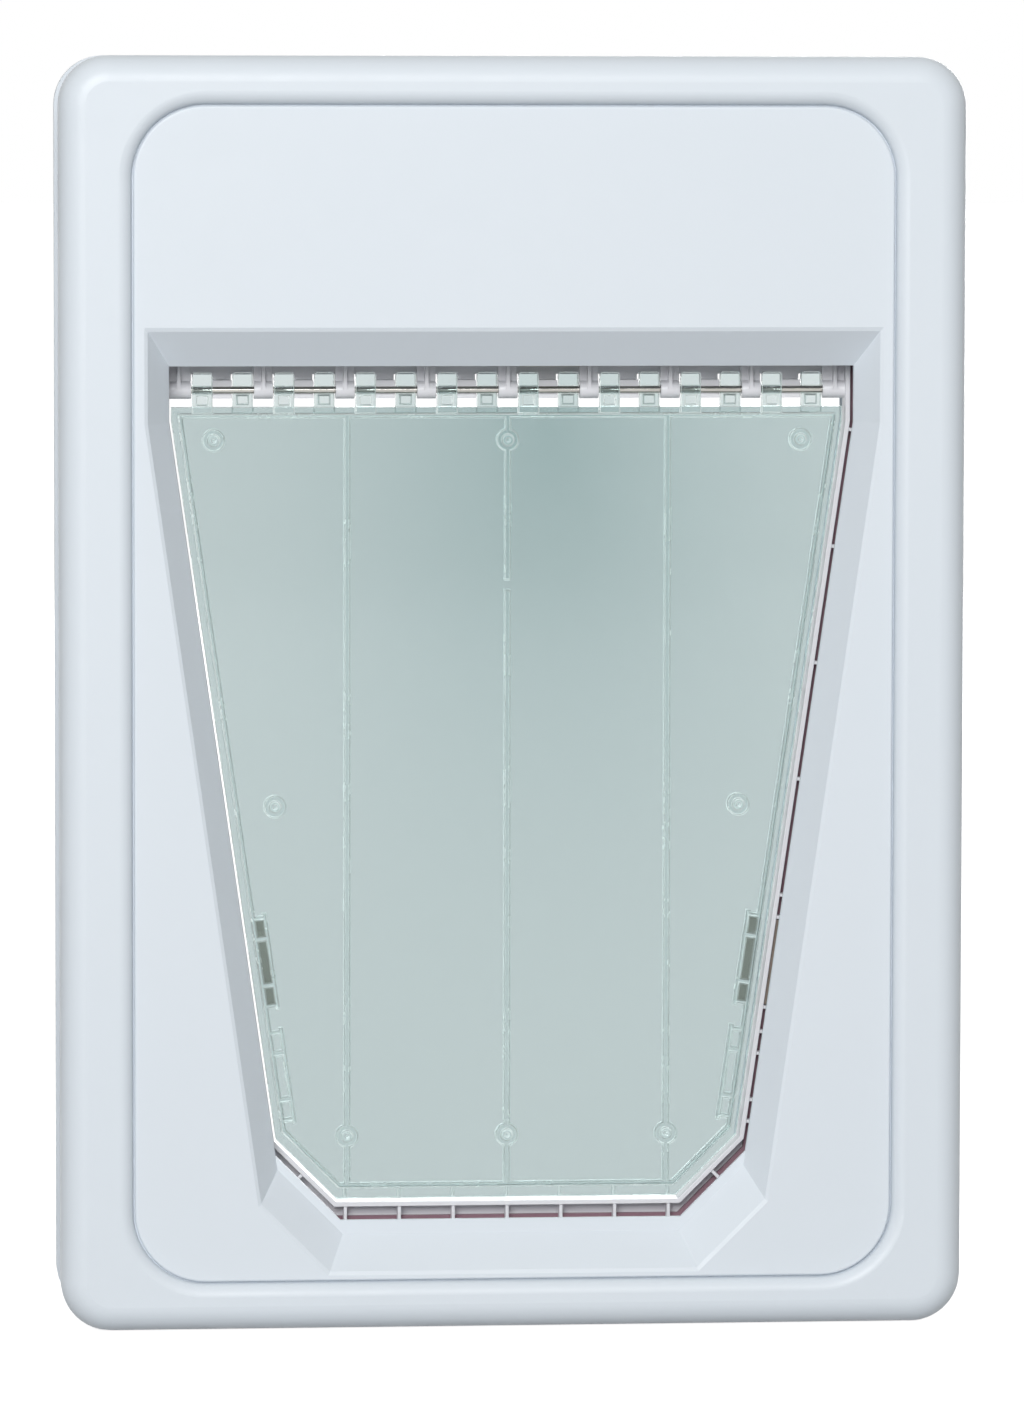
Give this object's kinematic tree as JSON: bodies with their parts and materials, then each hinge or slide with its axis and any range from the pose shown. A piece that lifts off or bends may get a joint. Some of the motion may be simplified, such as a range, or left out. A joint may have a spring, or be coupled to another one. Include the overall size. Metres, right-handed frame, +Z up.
{
  "type": "dog door",
  "caption": "Dog door for a door leaf: white trim frames clamped on a sleeve, tapered funnel opening and a clear hinged flap with magnets, radio lock drive and batteries.",
  "frame": {"origin": "middle of the cut-out on the outside face of the door leaf", "axes": "+X across the door to the right as seen from outside, +Y from the outside to the inside, +Z up"},
  "size_m": [0.421, 0.0885, 0.591],
  "materials": {
    "frame_white": "white moulded plastic with a fine satin texture",
    "panel_white": "white moulded plastic with a fine satin texture",
    "chassis_white": "white moulded plastic",
    "flap_clear": "clear grey-green plastic with a polished face",
    "pin_steel": "bright ground steel",
    "magnet_dark": "dark sintered magnet",
    "keeper_steel": "dull rolled steel strip",
    "fastener_steel": "zinc plated steel",
    "tray_plastic": "black moulded plastic",
    "cell_jacket": "printed metal jacket, plain",
    "contact_spring": "nickel plated spring strip",
    "board_green": "solder mask",
    "switch_black": "black switch case",
    "coil_copper": "enamelled copper winding",
    "lock_nylon": "natural nylon",
    "pinion_brass": "cut brass",
    "motor_steel": "plated steel can",
    "button_rubber": "grey rubber",
    "pipe_clear": "clear plastic"
  },
  "bodies": {
    "frame": {"exterior_frame": "frame_white", "interior_frame": "frame_white", "exterior_panel": "panel_white", "interior_panel": "panel_white", "chassis": "chassis_white", "hinge_pin": "pin_steel", "keeper_left": "keeper_steel", "keeper_right": "keeper_steel", "clamp_bolts": "fastener_steel", "chassis_screws": "fastener_steel", "panel_screws": "fastener_steel", "board_screws": "fastener_steel", "battery_tray": "tray_plastic", "battery_1": "cell_jacket", "battery_2": "cell_jacket", "battery_3": "cell_jacket", "battery_4": "cell_jacket", "battery_contacts": "contact_spring", "circuit_board": "board_green", "board_switch": "switch_black", "antenna_coil": "coil_copper", "motor": "motor_steel", "motor_bracket": "motor_steel", "light_pipe": "pipe_clear"},
    "flap": {"flap_front_shell": "flap_clear", "flap_back_shell": "flap_clear", "magnet_left": "magnet_dark", "magnet_right": "magnet_dark"},
    "lock": {"lock_shoe": "lock_nylon"},
    "pinion": {"pinion": "pinion_brass"},
    "button": {"mode_button": "button_rubber"}
  },
  "joints": [
    {"name": "flap_swing", "type": "hinge", "parent": "frame", "child": "flap", "pos_m": [0, 0.02225, 0.1402], "axis": [1, 0, 0], "range_deg": [-85, 85]},
    {"name": "lock_slide", "type": "slide", "parent": "frame", "child": "lock", "axis": [0, 0, -1], "range_m": [0, 0.0056]},
    {"name": "pinion_turn", "type": "hinge", "parent": "frame", "child": "pinion", "pos_m": [0.03125, 0.02225, 0.1782], "axis": [0, -1, 0], "range_deg": [0, 45]},
    {"name": "button_press", "type": "slide", "parent": "frame", "child": "button", "axis": [0, -1, 0], "range_m": [0, 0.0013], "stiffness_N_per_m": 400}
  ],
  "couplings": [
    {"joint": "pinion_turn", "follows": "lock_slide", "rad_per_m": 138.89}
  ]
}
